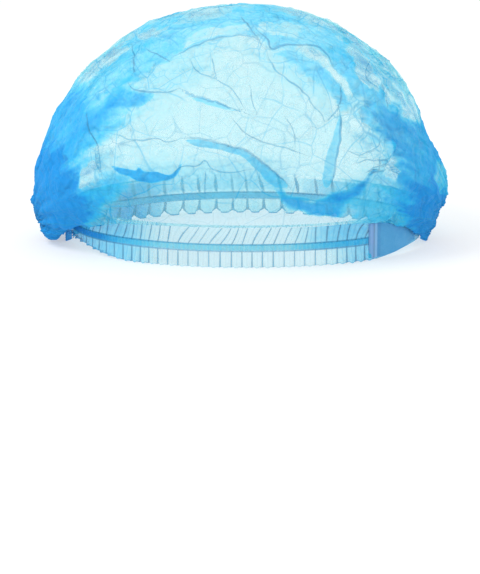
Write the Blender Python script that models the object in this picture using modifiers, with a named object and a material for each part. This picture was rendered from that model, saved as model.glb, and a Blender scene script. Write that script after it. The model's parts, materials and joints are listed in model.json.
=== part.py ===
"""A disposable bouffant cap of thin non-woven cloth, puffed open and resting on its gathered rim.

The cap is a sheet that was pleated into a strip, with an elastic in each long edge and a weld across
each end. Opened out, the two edges become the front and back hems of a pointed oval opening, the
welds become the end tabs, and the pleats between them puff up into the crown.
Metres, +X from the left tab to the right tab, -Y to the front, +Z up, standing on z = 0.
"""

import math
from collections import namedtuple

import bmesh
import bpy
from mathutils import Matrix, Vector

# The opening, measured at the outside of the hems
RIM_HALF_LENGTH = 0.1215
RIM_FRONT_DEPTH = 0.083
RIM_BACK_DEPTH = 0.084
RIM_FRONT_EXPONENT = 2.05
RIM_BACK_EXPONENT = 1.9

# The hems: a strip with the elastic along its middle
FRILL_DROP = 0.0110
ELASTIC_WIDTH = 0.0046
GATHER_RISE = 0.0109
HEM_TOP = FRILL_DROP + ELASTIC_WIDTH + GATHER_RISE
CLOTH_WALL = 0.0010
FRILL_FLARE = 0.0015
FRONT_PLEAT_PITCH = 0.0072
FRONT_PLEAT_DEPTH = 0.0019
BACK_PLEAT_PITCH = 0.0126
BACK_PLEAT_DEPTH = 0.0028
BAND_RIPPLE = 0.0003

# The elastics, just inside the hems
ELASTIC_THICKNESS = 0.0008
PIECE_GAP = 0.0003
ELASTIC_END_CLEARANCE = 0.0040
ELASTIC_COLUMNS = 36

# The welded tabs at the two ends, each a plate pressed into ribs and turned a little to the front
TAB_LENGTH = 0.0072
TAB_HEIGHT = 0.0200
TAB_THICKNESS = 0.0018
TAB_TURN = 62.0
TAB_RIBS = 6
WELD_DEPTH = 0.0004

# The flat patch over the right end of the front hem
PATCH_FROM_TAB = 0.0065
PATCH_REACH = 0.0290
PATCH_END = RIM_HALF_LENGTH - PATCH_FROM_TAB
PATCH_START = PATCH_END - PATCH_REACH
PATCH_HEIGHT = 0.0235
PATCH_WALL = 0.0010
PATCH_BORDER = 0.0035
PATCH_BORDER_RISE = 0.0007
PATCH_COLUMNS = 14

# The crown
CROWN_HEIGHT = 0.1645
CROWN_END_OVERHANG = 0.0225
CROWN_HALF_WIDTH = RIM_HALF_LENGTH + CROWN_END_OVERHANG
CROWN_FRONT_REACH = 0.108
CROWN_BACK_REACH = 0.112
CROWN_COLLAR = 0.0020
TOP_CREASE_WIDTH = 0.020
CROWN_COLUMNS = 76
CROWN_ROWS = 18

# One row for each level section of the crown, from the rim up. The ends hang down in a pouch before
# they rise, so the left, right and side heights differ. x is a share of CROWN_HALF_WIDTH, front_y and
# back_y of the front and back reach, z of CROWN_HEIGHT. spread says how far round from the ends their
# heights carry, and round how square the section is.
Section = namedtuple("Section", "name left_x left_z right_x right_z front_y back_y side_z spread round")
SECTIONS = [
    Section("tuck", 0.932, 0.145, 0.912, 0.145, 0.845, 0.800, 0.205, 0.33, 1.9),
    Section("sag", 0.955, 0.022, 0.896, 0.036, 0.890, 0.850, 0.240, 0.33, 1.9),
    Section("pouch", 0.986, 0.042, 0.912, 0.075, 0.930, 0.905, 0.285, 0.38, 2.0),
    Section("bulge", 1.024, 0.170, 0.962, 0.215, 0.965, 0.960, 0.345, 0.50, 2.1),
    Section("flank", 1.004, 0.340, 0.940, 0.340, 0.995, 0.995, 0.430, 0.65, 2.2),
    Section("waist", 0.952, 0.475, 0.858, 0.475, 1.000, 1.000, 0.535, 0.70, 2.2),
    Section("shoulder", 0.880, 0.595, 0.796, 0.600, 0.960, 0.965, 0.640, 0.70, 2.2),
    Section("upper", 0.782, 0.710, 0.710, 0.705, 0.875, 0.880, 0.735, 0.70, 2.2),
    Section("crest", 0.662, 0.810, 0.602, 0.798, 0.733, 0.738, 0.825, 0.70, 2.1),
    Section("brow", 0.520, 0.893, 0.488, 0.886, 0.563, 0.568, 0.895, 0.70, 2.0),
    Section("dome", 0.360, 0.953, 0.342, 0.950, 0.390, 0.395, 0.952, 0.70, 2.0),
    Section("top", 0.180, 0.988, 0.170, 0.987, 0.193, 0.198, 0.987, 0.70, 2.0),
]

# One row for each long soft fold or dent. It runs over the front or the back wall from (x1, z1) to
# (x2, z2), as shares of CROWN_HALF_WIDTH and CROWN_HEIGHT; rise is a share of FOLD_RISE, width of
# FOLD_WIDTH.
FOLD_RISE = 0.0034
FOLD_WIDTH = 0.0085
Fold = namedtuple("Fold", "name side x1 z1 x2 z2 rise width")
FOLDS = [
    Fold("brow fold, left", "front", -0.56, 0.76, -0.28, 0.74, 0.9, 1.0),
    Fold("brow fold, right", "front", -0.28, 0.74, 0.06, 0.65, 1.0, 1.0),
    Fold("top fold, left", "front", -0.38, 0.87, -0.06, 0.94, 0.8, 1.1),
    Fold("top fold, right", "front", 0.02, 0.93, 0.31, 0.72, 0.9, 1.0),
    Fold("middle fold, left", "front", -0.66, 0.60, -0.16, 0.57, 0.8, 1.0),
    Fold("middle fold, right", "front", -0.16, 0.57, 0.24, 0.35, 1.1, 1.0),
    Fold("dart", "front", 0.45, 0.69, 0.41, 0.36, -0.9, 1.0),
    Fold("left dent", "front", -0.67, 0.45, -0.30, 0.41, -1.1, 1.4),
    Fold("right dent", "front", 0.20, 0.31, 0.55, 0.28, -0.7, 1.1),
    Fold("back ridge", "back", -0.55, 0.62, 0.10, 0.55, 0.9, 1.2),
    Fold("back shoulder ridge", "back", 0.05, 0.84, 0.50, 0.60, 0.8, 1.2),
    Fold("back dent", "back", -0.60, 0.42, -0.05, 0.36, -0.9, 1.3),
]

# One row for each end: the folds that fan out from the weld, their number round it, how high they
# stand, how far they reach, and the turn of the first one
EndFan = namedtuple("EndFan", "name side folds rise reach turn")
END_FANS = [
    EndFan("left fan", -1, 7, 0.0022, 0.042, 0.4),
    EndFan("right fan", 1, 8, 0.0022, 0.045, 1.1),
]


def unit_power(value, exponent):
    """A signed power, for sections between an ellipse and a rounded box."""
    return math.copysign(abs(value) ** exponent, value)


def rim_point(angle):
    """A point of the oval of the opening; the angle runs from +X through the back."""
    back = math.sin(angle) >= 0
    depth = RIM_BACK_DEPTH if back else RIM_FRONT_DEPTH
    power = 2 / (RIM_BACK_EXPONENT if back else RIM_FRONT_EXPONENT)
    x = RIM_HALF_LENGTH * unit_power(math.cos(angle), power)
    y = depth * unit_power(math.sin(angle), power)
    return Vector((x, y, 0))


class RimPath:
    """The front or back half of the rim, walked by true length from the left tab to the right one."""

    STEPS = 1200

    def __init__(self, front):
        self.sign = -1 if front else 1
        turns = [math.pi * (1 - i / self.STEPS) for i in range(self.STEPS + 1)]
        self.points = [rim_point(self.sign * turn) for turn in turns]
        self.lengths = [0.0]
        for before, after in zip(self.points, self.points[1:]):
            self.lengths.append(self.lengths[-1] + (after - before).length)
        self.total = self.lengths[-1]

    def at_length(self, length):
        """The point and the outward direction at this distance from the left end."""
        length = min(max(length, 0.0), self.total)
        low, high = 0, self.STEPS
        while high - low > 1:
            middle = (low + high) // 2
            if self.lengths[middle] <= length:
                low = middle
            else:
                high = middle
        span = self.lengths[high] - self.lengths[low]
        share = (length - self.lengths[low]) / span
        point = self.points[low].lerp(self.points[high], share)
        along = (self.points[high] - self.points[low]).normalized()
        outward = Vector((along.y, -along.x, 0)) * -self.sign
        return point, outward

    def length_at_x(self, x):
        """How far along the path its x first reaches this value."""
        for point, length in zip(self.points, self.lengths):
            if point.x >= x:
                return length
        return self.total


def smooth_step(value):
    value = min(max(value, 0.0), 1.0)
    return value * value * (3 - 2 * value)


def catmull(values, position):
    """A smooth value between the entries of a list, at this position in it."""
    last = len(values) - 1
    low = min(int(position), last - 1)
    share = position - low
    before, start, end, after = (values[min(max(low + k, 0), last)] for k in (-1, 0, 1, 2))
    return 0.5 * (
        2 * start
        + (end - before) * share
        + (2 * before - 5 * start + 4 * end - after) * share**2
        + (3 * start - before - 3 * end + after) * share**3
    )


def crown_columns_of(name, rim_value, collar_value, apex_value, scale):
    """One column of the section table as lengths, with the rim, the collar and the apex added."""
    return [rim_value, collar_value, *(getattr(row, name) * scale for row in SECTIONS), apex_value]


RIM_Z = HEM_TOP + PIECE_GAP
COLLAR_Z = RIM_Z + CROWN_COLLAR
LEFT_X = crown_columns_of("left_x", RIM_HALF_LENGTH, RIM_HALF_LENGTH, 0.0, CROWN_HALF_WIDTH)
RIGHT_X = crown_columns_of("right_x", RIM_HALF_LENGTH, RIM_HALF_LENGTH, 0.0, CROWN_HALF_WIDTH)
FRONT_Y = crown_columns_of("front_y", RIM_FRONT_DEPTH, RIM_FRONT_DEPTH, 0.0, CROWN_FRONT_REACH)
BACK_Y = crown_columns_of("back_y", RIM_BACK_DEPTH, RIM_BACK_DEPTH, 0.0, CROWN_BACK_REACH)
LEFT_Z = crown_columns_of("left_z", RIM_Z, COLLAR_Z, CROWN_HEIGHT, CROWN_HEIGHT)
RIGHT_Z = crown_columns_of("right_z", RIM_Z, COLLAR_Z, CROWN_HEIGHT, CROWN_HEIGHT)
SIDE_Z = crown_columns_of("side_z", RIM_Z, COLLAR_Z, CROWN_HEIGHT, CROWN_HEIGHT)
SPREAD = crown_columns_of("spread", SECTIONS[0].spread, SECTIONS[0].spread, SECTIONS[-1].spread, 1)
ROUND_FRONT = crown_columns_of("round", RIM_FRONT_EXPONENT, RIM_FRONT_EXPONENT, 2.0, 1)
ROUND_BACK = crown_columns_of("round", RIM_BACK_EXPONENT, RIM_BACK_EXPONENT, 2.0, 1)


def crown_base(angle, level):
    """The smooth crown. level runs from 0 at the rim to 1 at the top."""
    position = level * (len(LEFT_X) - 1)
    cosine, sine = math.cos(angle), math.sin(angle)
    power = 2 / catmull(ROUND_FRONT if sine < 0 else ROUND_BACK, position)
    x = catmull(RIGHT_X if cosine > 0 else LEFT_X, position) * unit_power(cosine, power)
    y = catmull(FRONT_Y if sine < 0 else BACK_Y, position) * unit_power(sine, power)
    end_share = 1 / (1 + abs(sine / catmull(SPREAD, position)) ** 3)
    end_z = catmull(RIGHT_Z if cosine > 0 else LEFT_Z, position)
    z = end_z * end_share + catmull(SIDE_Z, position) * (1 - end_share)
    return Vector((x, y, z))


def segment_distance(x, z, start, end):
    """How far a point of the front view is from a line drawn on it."""
    along_x, along_z = end[0] - start[0], end[1] - start[1]
    beyond_x, beyond_z = x - start[0], z - start[1]
    share = (beyond_x * along_x + beyond_z * along_z) / (along_x**2 + along_z**2)
    share = min(max(share, 0.0), 1.0)
    return math.hypot(beyond_x - along_x * share, beyond_z - along_z * share)


def crown_relief(point, level):
    """How far the folds lift the cloth here; nothing at the rim or at the very top."""
    relief = 0.0
    for fold in FOLDS:
        if (point.y < 0) != (fold.side == "front"):
            continue
        start = (fold.x1 * CROWN_HALF_WIDTH, fold.z1 * CROWN_HEIGHT)
        end = (fold.x2 * CROWN_HALF_WIDTH, fold.z2 * CROWN_HEIGHT)
        reach = segment_distance(point.x, point.z, start, end) / (FOLD_WIDTH * fold.width)
        relief += FOLD_RISE * fold.rise * math.exp(-(reach**2))
    for fan in END_FANS:
        height = point.z - FRILL_DROP
        distance = math.hypot(point.x - fan.side * RIM_HALF_LENGTH, point.y, height)
        turn = math.atan2(height, point.y)
        fade = math.exp(-((distance / fan.reach) ** 2))
        relief += fan.rise * math.cos(fan.folds * turn + fan.turn) * fade
    edge_fade = smooth_step((level - 0.24) / 0.18) * smooth_step((1 - level) / 0.1)
    side_fade = smooth_step(abs(point.y) / TOP_CREASE_WIDTH) if level > 0.5 else 1.0
    return relief * edge_fade * side_fade


def crown_point(angle, level):
    """The crown with its folds, each lifted straight off the smooth form."""
    point = crown_base(angle, level)
    nudge = 0.004
    across = crown_base(angle + nudge, level) - crown_base(angle - nudge, level)
    lower, upper = max(level - nudge, 0.0), min(level + nudge, 1.0)
    up = crown_base(angle, upper) - crown_base(angle, lower)
    outward = across.cross(up)
    if outward.length < 1e-12:
        return point
    return point + outward.normalized() * crown_relief(point, level)


def grid_wall(name, columns, rows, place, thickness, wraps=False, flat_levels=()):
    """A sheet bent from a flat grid by place(u, v), both from 0 to 1, and given its wall inwards.

    flat_levels are heights that the edge of the wall is trimmed flush with."""
    sheet = bmesh.new()
    bmesh.ops.create_grid(sheet, x_segments=columns, y_segments=rows, size=1.0)
    for vertex in sheet.verts:
        u, v = (vertex.co.x + 1) / 2, (vertex.co.y + 1) / 2
        vertex.co = place(u, v)
    if wraps:
        bmesh.ops.remove_doubles(sheet, verts=sheet.verts, dist=1e-6)
    piece = add_mesh(name, sheet)
    wall = piece.modifiers.new("wall", "SOLIDIFY")
    wall.thickness = thickness
    wall.offset = -1
    wall.use_even_offset = False
    wall.use_rim = True
    bake_modifiers(piece)
    for vertex in piece.data.vertices:
        for level in flat_levels:
            if abs(vertex.co.z - level) < thickness * 0.6:
                vertex.co.z = level
    return piece


def add_mesh(name, built):
    """A piece from a finished bmesh, faces turned outwards."""
    bmesh.ops.recalc_face_normals(built, faces=built.faces)
    mesh = bpy.data.meshes.new(name)
    built.to_mesh(mesh)
    built.free()
    piece = bpy.data.objects.new(name, mesh)
    parts.objects.link(piece)
    return piece


def bake_modifiers(piece):
    """Turns a piece and its modifiers into one plain mesh."""
    bpy.context.view_layer.update()
    evaluated = piece.evaluated_get(bpy.context.evaluated_depsgraph_get())
    mesh = bpy.data.meshes.new_from_object(evaluated)
    piece.modifiers.clear()
    piece.data = mesh


def cloth_material(name, colour, roughness):
    material = bpy.data.materials.new(name)
    material.use_nodes = True
    shader = material.node_tree.nodes["Principled BSDF"]
    shader.inputs["Base Color"].default_value = (*colour, 1)
    shader.inputs["Roughness"].default_value = roughness
    shader.inputs["Metallic"].default_value = 0.0
    return material


def finish(piece, material, sharp_degrees=50):
    piece.data.materials.clear()
    piece.data.materials.append(material)
    piece.data.shade_smooth()
    piece.data.set_sharp_from_angle(angle=math.radians(sharp_degrees))


def column_angle(share):
    """Evenly shared columns, drawn closer together at the two gathered ends."""
    plain = 2 * math.pi * share
    return plain - 0.25 * math.sin(2 * plain)


def make_crown():
    def place(u, v):
        return crown_point(column_angle(u), v)

    return grid_wall(
        "crown", CROWN_COLUMNS, CROWN_ROWS, place, CLOTH_WALL, wraps=True, flat_levels=[RIM_Z]
    )


# Height up the hem, and how much of the pleat depth shows there
HemRow = namedtuple("HemRow", "height pleat ripple flare")
HEM_ROWS = [
    HemRow(0.0, 1.0, 0.0, 1.0),
    HemRow(FRILL_DROP * 0.5, 0.85, 0.0, 0.7),
    HemRow(FRILL_DROP, 0.0, 1.0, 0.1),
    HemRow(FRILL_DROP + ELASTIC_WIDTH, 0.0, 1.0, 0.1),
    HemRow(FRILL_DROP + ELASTIC_WIDTH + GATHER_RISE * 0.45, 0.55, 0.0, 0.1),
    HemRow(HEM_TOP, 0.0, 0.0, 0.0),
]


def make_hem(name, path, pitch, depth, samples, flat_from):
    """A gathered strip from the left tab to the right one, its pleats a whole number of pitches.

    From flat_from on, a length along the path, the strip is left ungathered."""
    clear = TAB_THICKNESS / 2 + PIECE_GAP
    start, stop = clear, path.total - clear
    pleats = round((stop - start) / pitch)

    def place(u, v):
        row = HEM_ROWS[round(v * (len(HEM_ROWS) - 1))]
        point, outward = path.at_length(start + (stop - start) * u)
        gathered = min(u * (stop - start), flat_from - start - u * (stop - start))
        end_fade = smooth_step(gathered / (2 * pitch))
        wave = math.cos(2 * math.pi * pleats * u)
        push = (row.pleat * depth + row.ripple * BAND_RIPPLE) * wave + row.flare * FRILL_FLARE
        return point + outward * push * end_fade + Vector((0, 0, row.height))

    return grid_wall(
        name, pleats * samples, len(HEM_ROWS) - 1, place, CLOTH_WALL, flat_levels=[0.0, HEM_TOP]
    )


def make_elastic(name, path):
    """A flat band just inside the hem, level with the pinched line between the gathers."""
    inset = CLOTH_WALL + BAND_RIPPLE + PIECE_GAP
    start, stop = ELASTIC_END_CLEARANCE, path.total - ELASTIC_END_CLEARANCE

    def place(u, v):
        point, outward = path.at_length(start + (stop - start) * u)
        height = FRILL_DROP + ELASTIC_WIDTH * v
        return point - outward * inset + Vector((0, 0, height))

    return grid_wall(name, ELASTIC_COLUMNS, 1, place, ELASTIC_THICKNESS)


def make_patch(path):
    """The flat end of the strip, a plate laid on the hem, with a raised border along its left edge."""
    start, stop = path.length_at_x(PATCH_START), path.length_at_x(PATCH_END)
    foot = (HEM_TOP - PATCH_HEIGHT) / 2
    head = foot + PATCH_HEIGHT
    border = PATCH_BORDER / (stop - start)
    profile = [0.0, border * 0.9, border]
    profile += [border + (1 - border) * k / PATCH_COLUMNS for k in range(1, PATCH_COLUMNS + 1)]
    mesh = bmesh.new()
    rings = []
    for share in profile:
        point, outward = path.at_length(start + (stop - start) * share)
        rise = PATCH_BORDER_RISE if share < border * 0.95 else 0.0
        near, far = PIECE_GAP, PIECE_GAP + PATCH_WALL + rise
        corners = [(near, foot), (far, foot), (far, head), (near, head)]
        rings.append([mesh.verts.new(point + outward * out + Vector((0, 0, z))) for out, z in corners])
    for before, after in zip(rings, rings[1:]):
        for k in range(4):
            mesh.faces.new((before[k], before[(k + 1) % 4], after[(k + 1) % 4], after[k]))
    mesh.faces.new(rings[0])
    mesh.faces.new(rings[-1])
    return add_mesh("flat_end_patch", mesh)


def make_tab(name, side):
    """A welded plate: its section across the thickness is notched into ribs and drawn out lengthwise."""
    pitch = TAB_HEIGHT / TAB_RIBS
    half = TAB_THICKNESS / 2
    face = []
    for rib in range(TAB_RIBS):
        low = rib * pitch
        face += [(half - WELD_DEPTH, low), (half, low + pitch * 0.3), (half, low + pitch * 0.7)]
    face.append((half - WELD_DEPTH, TAB_HEIGHT))
    outline = face + [(-y, z) for y, z in reversed(face)]
    root = RIM_HALF_LENGTH + PIECE_GAP + half * math.sin(math.radians(TAB_TURN))
    mesh = bmesh.new()
    section = mesh.faces.new([mesh.verts.new((0, y, z)) for y, z in outline])
    drawn = bmesh.ops.extrude_face_region(mesh, geom=[section])
    moved = [item for item in drawn["geom"] if isinstance(item, bmesh.types.BMVert)]
    bmesh.ops.translate(mesh, verts=moved, vec=(side * TAB_LENGTH, 0, 0))
    turn = Matrix.Rotation(math.radians(-side * TAB_TURN), 3, "Z")
    bmesh.ops.rotate(mesh, verts=mesh.verts, cent=(0, 0, 0), matrix=turn)
    bmesh.ops.translate(mesh, verts=mesh.verts, vec=(side * root, 0, 0))
    return add_mesh(name, mesh)


def stand_on_floor_centre(pieces):
    """Moves the whole cap so that the middle of its box's bottom is the origin."""
    corners = [vertex.co for piece in pieces for vertex in piece.data.vertices]
    low = Vector([min(corner[axis] for corner in corners) for axis in range(3)])
    high = Vector([max(corner[axis] for corner in corners) for axis in range(3)])
    shift = Vector((-(low.x + high.x) / 2, -(low.y + high.y) / 2, -low.z))
    for piece in pieces:
        for vertex in piece.data.vertices:
            vertex.co += shift


for old in list(bpy.data.objects):
    bpy.data.objects.remove(old)
parts = bpy.data.collections.new("bouffant_cap")
bpy.context.scene.collection.children.link(parts)

crown_cloth = cloth_material("crown_cloth", (0.33, 0.71, 0.93), 0.75)
hem_cloth = cloth_material("hem_cloth", (0.25, 0.62, 0.90), 0.75)
elastic_band = cloth_material("elastic_band", (0.62, 0.82, 0.93), 0.6)
welded_cloth = cloth_material("welded_cloth", (0.10, 0.45, 0.75), 0.6)
patch_cloth = cloth_material("patch_cloth", (0.09, 0.35, 0.66), 0.7)

front_path, back_path = RimPath(front=True), RimPath(front=False)
front_flat = front_path.length_at_x(PATCH_START)
back_flat = back_path.total
front_hem = make_hem("front_hem", front_path, FRONT_PLEAT_PITCH, FRONT_PLEAT_DEPTH, 3, front_flat)
back_hem = make_hem("back_hem", back_path, BACK_PLEAT_PITCH, BACK_PLEAT_DEPTH, 4, back_flat)
finish(make_crown(), crown_cloth)
finish(front_hem, hem_cloth, 25)
finish(back_hem, hem_cloth, 25)
finish(make_elastic("front_elastic", front_path), elastic_band)
finish(make_elastic("back_elastic", back_path), elastic_band)
finish(make_tab("left_end_tab", -1), welded_cloth, 25)
finish(make_tab("right_end_tab", 1), welded_cloth, 25)
finish(make_patch(front_path), patch_cloth, 25)
stand_on_floor_centre(list(parts.objects))
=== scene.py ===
import json
import math

import bmesh
import bpy
import numpy as np
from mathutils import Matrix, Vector, noise

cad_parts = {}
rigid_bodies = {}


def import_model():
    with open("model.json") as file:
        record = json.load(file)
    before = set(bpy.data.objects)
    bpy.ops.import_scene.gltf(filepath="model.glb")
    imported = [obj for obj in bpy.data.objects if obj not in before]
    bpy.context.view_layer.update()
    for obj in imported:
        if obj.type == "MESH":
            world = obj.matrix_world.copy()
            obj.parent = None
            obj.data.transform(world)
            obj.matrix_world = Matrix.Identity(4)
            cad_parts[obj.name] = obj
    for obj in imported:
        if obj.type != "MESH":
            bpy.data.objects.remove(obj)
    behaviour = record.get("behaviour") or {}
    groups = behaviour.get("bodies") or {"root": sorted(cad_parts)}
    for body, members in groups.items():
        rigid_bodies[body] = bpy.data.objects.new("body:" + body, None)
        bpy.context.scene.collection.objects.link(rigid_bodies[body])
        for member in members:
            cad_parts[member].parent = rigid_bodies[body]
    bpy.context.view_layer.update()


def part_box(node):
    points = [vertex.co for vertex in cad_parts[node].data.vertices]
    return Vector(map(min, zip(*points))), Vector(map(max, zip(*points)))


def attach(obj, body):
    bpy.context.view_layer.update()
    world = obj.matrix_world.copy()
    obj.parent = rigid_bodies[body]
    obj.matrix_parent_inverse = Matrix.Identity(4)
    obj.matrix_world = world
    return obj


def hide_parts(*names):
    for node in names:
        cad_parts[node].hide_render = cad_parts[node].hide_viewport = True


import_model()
mm = 0.001

# The middle of the opening, and the rim's oval, as the solids have them
rim = {
    "centre": (4.3 * mm, -1.7 * mm),
    "halfLength": 121.5 * mm,
    "frontDepth": 83.0 * mm,
    "backDepth": 84.0 * mm,
    "frontExponent": 2.05,
    "backExponent": 1.9,
}

# ---- camera: a long lens 10.5 degrees above the floor, aimed low so the cap sits high in the frame
camera = {
    "distance": 1.6,
    "elevation": 10.5,
    "lookAt": (0.0, 0.0, 0.0825),
    "pitchBelow": 4.09,
    "lens": 172.5,
}


def placeCamera(spec):
    rise = math.radians(spec["elevation"])
    spot = Vector(spec["lookAt"]) + spec["distance"] * Vector((0, -math.cos(rise), math.sin(rise)))
    data = bpy.data.cameras.new("photoView")
    data.sensor_fit = "HORIZONTAL"
    data.sensor_width = 36
    data.lens = spec["lens"]
    data.clip_start = 0.05
    data.clip_end = 30
    view = bpy.data.objects.new("photoView", data)
    view.location = spot
    view.rotation_euler = (math.radians(90 - spec["elevation"] - spec["pitchBelow"]), 0, 0)
    bpy.context.scene.collection.objects.link(view)
    bpy.context.scene.camera = view
    return view


def picturePlane(points, spec):
    # where points fall on a plane through the cap's middle, in mm right of and above the front edge's middle
    rise = math.radians(spec["elevation"])
    pitch = math.radians(spec["elevation"] + spec["pitchBelow"])
    spot = np.array(spec["lookAt"]) + spec["distance"] * np.array((0, -math.cos(rise), math.sin(rise)))
    ahead = np.array((0, math.cos(pitch), -math.sin(pitch)))
    upward = np.array((0, math.sin(pitch), math.cos(pitch)))
    offset = points - spot
    depth = offset @ ahead
    reach = spec["distance"] * math.cos(math.radians(spec["pitchBelow"]))
    across = offset[:, 0] * reach / depth
    above = (offset @ upward) * reach / depth
    return across / mm - 3.5, above / mm - 12.5


placeCamera(camera)
print("camera placed")


# ---- shader maths written as plain expressions

class Strand:
    # wraps a node's output socket; arithmetic on it adds Math nodes
    def __init__(self, weave, socket):
        self.weave, self.socket = weave, socket

    def maths(self, operation, *values):
        return self.weave.node("ShaderNodeMath", {"operation": operation}, dict(enumerate(values)))

    def __add__(self, other):
        return self.maths("ADD", self, other)

    def __radd__(self, other):
        return self.maths("ADD", other, self)

    def __sub__(self, other):
        return self.maths("SUBTRACT", self, other)

    def __rsub__(self, other):
        return self.maths("SUBTRACT", other, self)

    def __mul__(self, other):
        return self.maths("MULTIPLY", self, other)

    def __rmul__(self, other):
        return self.maths("MULTIPLY", other, self)

    def __truediv__(self, other):
        return self.maths("DIVIDE", self, other)

    def __rtruediv__(self, other):
        return self.maths("DIVIDE", other, self)

    def __pow__(self, other):
        return self.maths("POWER", self, other)

    def __rpow__(self, other):
        return self.maths("POWER", other, self)

    def step(self, low, high):
        # 0 below low, 1 above high, smooth between
        return self.weave.node("ShaderNodeMapRange", {"interpolation_type": "SMOOTHSTEP"}, {0: self, 1: low, 2: high})

    def sine(self):
        return self.maths("SINE", self)

    def least(self, other):
        return self.maths("MINIMUM", self, other)

    def most(self, other):
        return self.maths("MAXIMUM", self, other)


class Weave:
    # a material and its node tree
    def __init__(self, name):
        self.material = bpy.data.materials.new(name)
        self.material.use_nodes = True
        self.tree = self.material.node_tree
        self.tree.nodes.clear()

    def node(self, kind, settings=None, inputs=None, output=0):
        made = self.tree.nodes.new(kind)
        for key, value in (settings or {}).items():
            if key == "stops":
                ramp = made.color_ramp
                while len(ramp.elements) < len(value):
                    ramp.elements.new(0.5)
                for element, (position, colour) in zip(ramp.elements, value):
                    element.position = position
                    element.color = (*colour, 1)
            else:
                setattr(made, key, value)
        for key, value in (inputs or {}).items():
            if isinstance(value, Strand):
                self.tree.links.new(value.socket, made.inputs[key])
            else:
                made.inputs[key].default_value = value
        return Strand(self, made.outputs[output])

    def attribute(self, name):
        return self.node("ShaderNodeAttribute", {"attribute_name": name}, {}, "Fac")

    def place(self):
        return self.node("ShaderNodeTexCoord", {}, {}, "Object")

    def noise(self, where, scale, detail=3.0, roughness=0.55):
        return self.node("ShaderNodeTexNoise", {}, {"Vector": where, "Scale": scale, "Detail": detail, "Roughness": roughness})

    def blend(self, share, first, second):
        return self.node("ShaderNodeMix", {"data_type": "RGBA"}, {0: share, 6: first, 7: second}, 2)

    def finish(self, surface):
        end = self.tree.nodes.new("ShaderNodeOutputMaterial")
        self.tree.links.new(surface.socket, end.inputs["Surface"])
        return self.material


# ---- the cloth's look: the more layers lie over each other, the deeper and less clear the blue
cloth = {
    "deepestLayers": 16.0,
    "clearPerLayer": 0.79,
    "clearTint": (0.87, 0.955, 0.965, 1),
    "throughColour": (0.55, 0.92, 0.96, 1),
    "throughShare": 0.40,
    "roughness": 0.75,
    "fibreScale": 1500.0,
    "mottleScale": 260.0,
    "lineLayers": 5.0,
    "creaseShadeColour": (0.035, 0.325, 0.550, 1),
}
layerColours = [
    (1.0, (0.430, 0.915, 0.940)),
    (2.2, (0.255, 0.810, 0.915)),
    (3.6, (0.115, 0.670, 0.895)),
    (6.0, (0.046, 0.545, 0.850)),
    (9.0, (0.022, 0.425, 0.810)),
    (15.0, (0.009, 0.275, 0.700)),
]


def clothShader(weave, layers, lines, height, where, spec=cloth):
    # layers: how many lie here; lines: hair creases, 0 to 1, drawn darker as extra layers and as painted crease shade;
    # height: relief for the bump, in metres
    mottle = weave.noise(where, spec["mottleScale"], 2.0, 0.65)
    fibre = weave.noise(where, spec["fibreScale"], 1.0, 0.7)
    thick = layers * (0.64 + 0.72 * mottle) * (0.92 + 0.16 * fibre)
    shown = thick + lines * spec["lineLayers"]
    stops = [(n / spec["deepestLayers"], colour) for n, colour in layerColours]
    colour = weave.node("ShaderNodeValToRGB", {"stops": stops}, {0: shown / spec["deepestLayers"]})
    # the lines are blended towards a dark teal: painted crease shade
    colour = weave.blend((lines * 0.8).least(0.85), colour, spec["creaseShadeColour"])
    clear = spec["clearPerLayer"] ** (thick + lines * 2.0)
    bump = weave.node("ShaderNodeBump", {}, {"Strength": 0.85, "Distance": 1.0, "Height": height + fibre * 0.00006})
    solid = weave.node(
        "ShaderNodeBsdfPrincipled",
        {},
        {"Base Color": colour, "Roughness": spec["roughness"], "Specular IOR Level": 0.2, "Normal": bump},
    )
    through = weave.node("ShaderNodeBsdfTranslucent", {}, {"Color": spec["throughColour"], "Normal": bump})
    glow = spec["throughShare"] * (1 - shown.step(1.5, 5.0))
    body = weave.node("ShaderNodeMixShader", {}, {0: glow, 1: solid, 2: through})
    opening = weave.node("ShaderNodeBsdfTransparent", {}, {"Color": spec["clearTint"]})
    return weave.node("ShaderNodeMixShader", {}, {0: clear, 1: body, 2: opening})


def crumpleNet(weave, where, cell, width, share):
    # hair creases of crumpled cloth, drawn as dark lines of painted crease shade: some of the edges of warped cells
    scale = 1 / cell
    bent = weave.node("ShaderNodeTexNoise", {}, {"Vector": where, "Scale": scale * 0.9, "Detail": 1.0}, "Color")
    pushed = weave.node("ShaderNodeVectorMath", {"operation": "MULTIPLY_ADD"}, {0: bent, 1: (0.5 * cell,) * 3, 2: where})
    edge = weave.node("ShaderNodeTexVoronoi", {"feature": "DISTANCE_TO_EDGE"}, {"Vector": pushed, "Scale": scale})
    patch = weave.noise(where, scale * 0.6, 1.0).step(0.62 - share * 0.5, 0.74 - share * 0.5)
    line = (1 - edge.step(0.0, width * scale)) * patch
    return line, (1 - edge.step(0.0, 5 * width * scale)) * patch, pushed


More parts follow.
